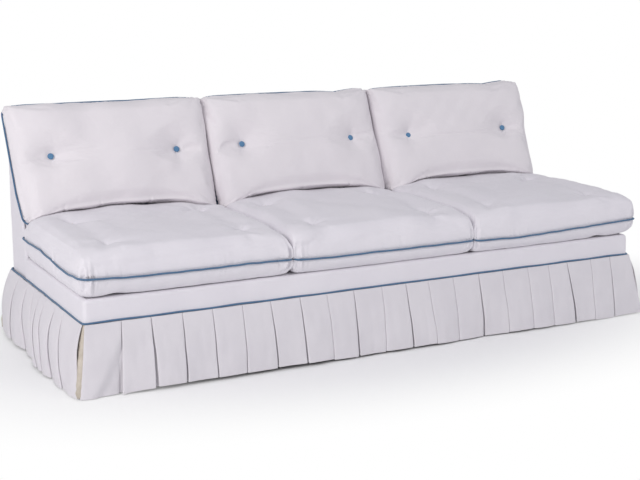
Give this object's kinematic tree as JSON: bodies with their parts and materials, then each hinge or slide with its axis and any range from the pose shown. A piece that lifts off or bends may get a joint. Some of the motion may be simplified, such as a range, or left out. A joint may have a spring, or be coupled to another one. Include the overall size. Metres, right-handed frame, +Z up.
{
  "type": "armless sofa",
  "caption": "Armless sofa with box-pleated skirt, loose tufted seat cushions and loose button-tufted back cushions.",
  "frame": {"origin": "on the floor under the middle of the sofa", "axes": "+X along the sofa to its right end as seen from the front, +Y to the rear, +Z up"},
  "size_m": [2.3782, 1.0112, 0.8826],
  "materials": {
    "white_cotton": "matte",
    "blue_cotton": "matte",
    "cream_lining": "matte",
    "hardwood": "matte",
    "webbing": "matte",
    "dust_cloth": "matte",
    "twine": "matte",
    "steel": "zinc plated"
  },
  "bodies": {
    "sofa_base": {"front_rail": "hardwood", "back_rail": "hardwood", "side_rails": "hardwood", "seat_stretchers": "hardwood", "outer_back_posts": "hardwood", "inner_back_posts": "hardwood", "top_rail": "hardwood", "lower_back_rails": "hardwood", "corner_blocks": "hardwood", "front_left_leg": "hardwood", "front_centre_leg": "hardwood", "front_right_leg": "hardwood", "rear_left_leg": "hardwood", "rear_centre_leg": "hardwood", "rear_right_leg": "hardwood", "leg_bolts": "steel", "seat_straps": "webbing", "cross_straps": "webbing", "back_straps": "webbing", "deck_pad": "white_cotton", "front_border": "white_cotton", "left_border": "white_cotton", "right_border": "white_cotton", "left_back_end": "white_cotton", "right_back_end": "white_cotton", "inside_back_pad": "white_cotton", "back_top_pad": "white_cotton", "outside_back": "white_cotton", "dust_cover": "dust_cloth", "front_skirt": "white_cotton", "rear_skirt": "white_cotton", "left_skirt": "white_cotton", "right_skirt": "white_cotton", "corner_linings": "cream_lining", "skirt_welt": "blue_cotton"},
    "left_seat": {"left_seat_cushion": "white_cotton", "left_seat_welt": "blue_cotton", "left_seat_tuft_twine": "twine"},
    "middle_seat": {"middle_seat_cushion": "white_cotton", "middle_seat_welt": "blue_cotton", "middle_seat_tuft_twine": "twine"},
    "right_seat": {"right_seat_cushion": "white_cotton", "right_seat_welt": "blue_cotton", "right_seat_tuft_twine": "twine"},
    "left_back": {"left_back_cushion": "white_cotton", "left_back_welt": "blue_cotton", "left_back_buttons": "blue_cotton"},
    "middle_back": {"middle_back_cushion": "white_cotton", "middle_back_welt": "blue_cotton", "middle_back_buttons": "blue_cotton"},
    "right_back": {"right_back_cushion": "white_cotton", "right_back_welt": "blue_cotton", "right_back_buttons": "blue_cotton"}
  },
  "joints": [
    {"name": "left_seat_slide", "type": "slide", "parent": "sofa_base", "child": "left_seat", "axis": [0, -1, 0], "range_m": [0, 0.6]},
    {"name": "middle_seat_slide", "type": "slide", "parent": "sofa_base", "child": "middle_seat", "axis": [0, -1, 0], "range_m": [0, 0.6]},
    {"name": "right_seat_slide", "type": "slide", "parent": "sofa_base", "child": "right_seat", "axis": [0, -1, 0], "range_m": [0, 0.6]},
    {"name": "left_back_lift", "type": "slide", "parent": "sofa_base", "child": "left_back", "axis": [0, 0.2533, 0.9674], "range_m": [0, 0.45]},
    {"name": "middle_back_lift", "type": "slide", "parent": "sofa_base", "child": "middle_back", "axis": [0, 0.2533, 0.9674], "range_m": [0, 0.45]},
    {"name": "right_back_lift", "type": "slide", "parent": "sofa_base", "child": "right_back", "axis": [0, 0.2533, 0.9674], "range_m": [0, 0.45]}
  ]
}
